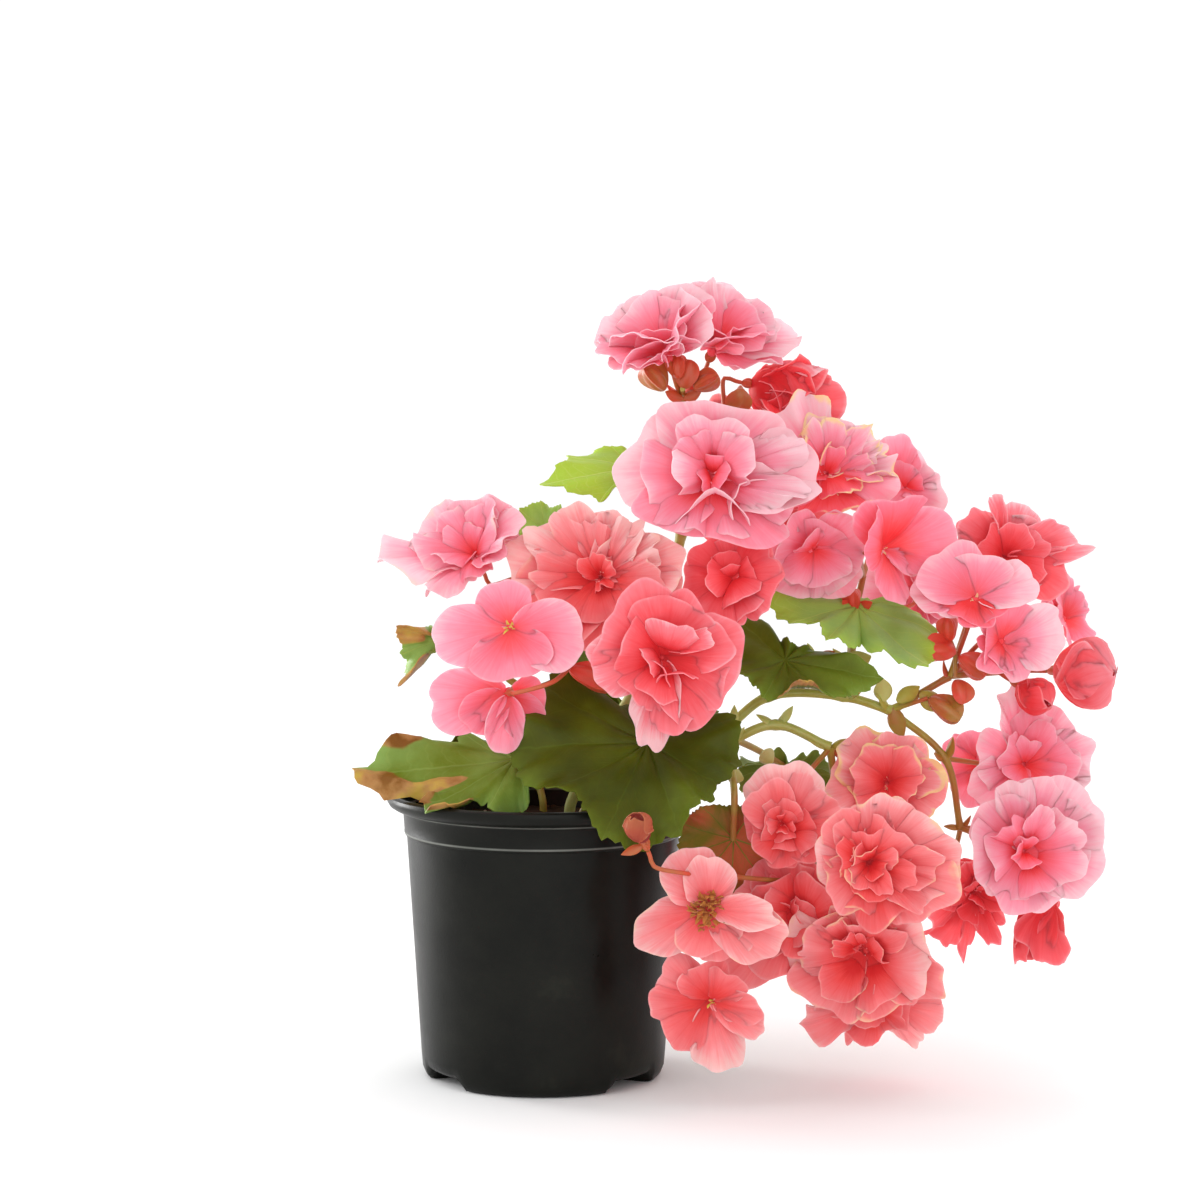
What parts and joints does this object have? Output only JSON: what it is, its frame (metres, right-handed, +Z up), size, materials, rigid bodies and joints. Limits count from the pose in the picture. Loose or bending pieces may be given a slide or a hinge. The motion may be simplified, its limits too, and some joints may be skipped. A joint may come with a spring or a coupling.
{
  "type": "potted begonia",
  "caption": "Begonia in full pink bloom in a plain black nursery pot, its branching stems leaning out over one side of the pot.",
  "frame": {"origin": "middle of the pot's flat underside, on the surface the pot stands on", "axes": "+Z up; the plant leans out over the pot's +X side; -Y is the front that shows the most blooms"},
  "size_m": [0.382, 0.2207, 0.3948],
  "materials": {
    "pot_plastic": "satin",
    "compost": "matte",
    "stem": "satin",
    "leaf": "satin",
    "petal_pale": "matte",
    "petal_coral": "matte",
    "petal_salmon": "matte"
  },
  "bodies": {
    "root": {"pot": "pot_plastic", "soil": "compost", "stem_left": "stem", "stem_low": "stem", "stem_right": "stem", "stem_upright": "stem", "leaf_back_high": "leaf", "leaf_back_left": "leaf", "leaf_back_over": "leaf", "leaf_back_right": "leaf", "leaf_behind_left": "leaf", "leaf_curled_left": "leaf", "leaf_dark_middle": "leaf", "leaf_front": "leaf", "leaf_light_middle": "leaf", "leaf_rim_left": "leaf", "leaf_underside": "leaf", "leaf_upper_left": "leaf", "bloom_back_left": "petal_pale", "bloom_back_low": "petal_salmon", "bloom_back_middle": "petal_coral", "bloom_back_right": "petal_pale", "bloom_back_upper": "petal_salmon", "bloom_brown_tip": "petal_salmon", "bloom_crown_closed": "petal_coral", "bloom_crown_left": "petal_pale", "bloom_crown_right": "petal_pale", "bloom_dried_heart": "petal_salmon", "bloom_dry_edged": "petal_salmon", "bloom_far_left": "petal_pale", "bloom_four_lower": "petal_pale", "bloom_four_upper": "petal_pale", "bloom_front_double": "petal_coral", "bloom_great": "petal_pale", "bloom_hanging": "petal_coral", "bloom_left_double": "petal_salmon", "bloom_low_double": "petal_salmon", "bloom_low_four": "petal_salmon", "bloom_low_inner": "petal_coral", "bloom_low_pointed": "petal_coral", "bloom_lowest": "petal_coral", "bloom_middle_coral": "petal_coral", "bloom_pale_back": "petal_pale", "bloom_peony": "petal_salmon", "bloom_pointed": "petal_coral", "bloom_right_back": "petal_pale", "bloom_right_closed": "petal_coral", "bloom_right_cup": "petal_pale", "bloom_right_double": "petal_pale", "bloom_right_inner": "petal_pale", "bloom_right_single": "petal_pale", "bloom_right_upper": "petal_pale", "bloom_seen_behind": "petal_pale", "bloom_side_single": "petal_pale", "bloom_small_rosette": "petal_salmon", "bud_front": "petal_salmon", "bud_right": "petal_coral"}
  },
  "joints": []
}
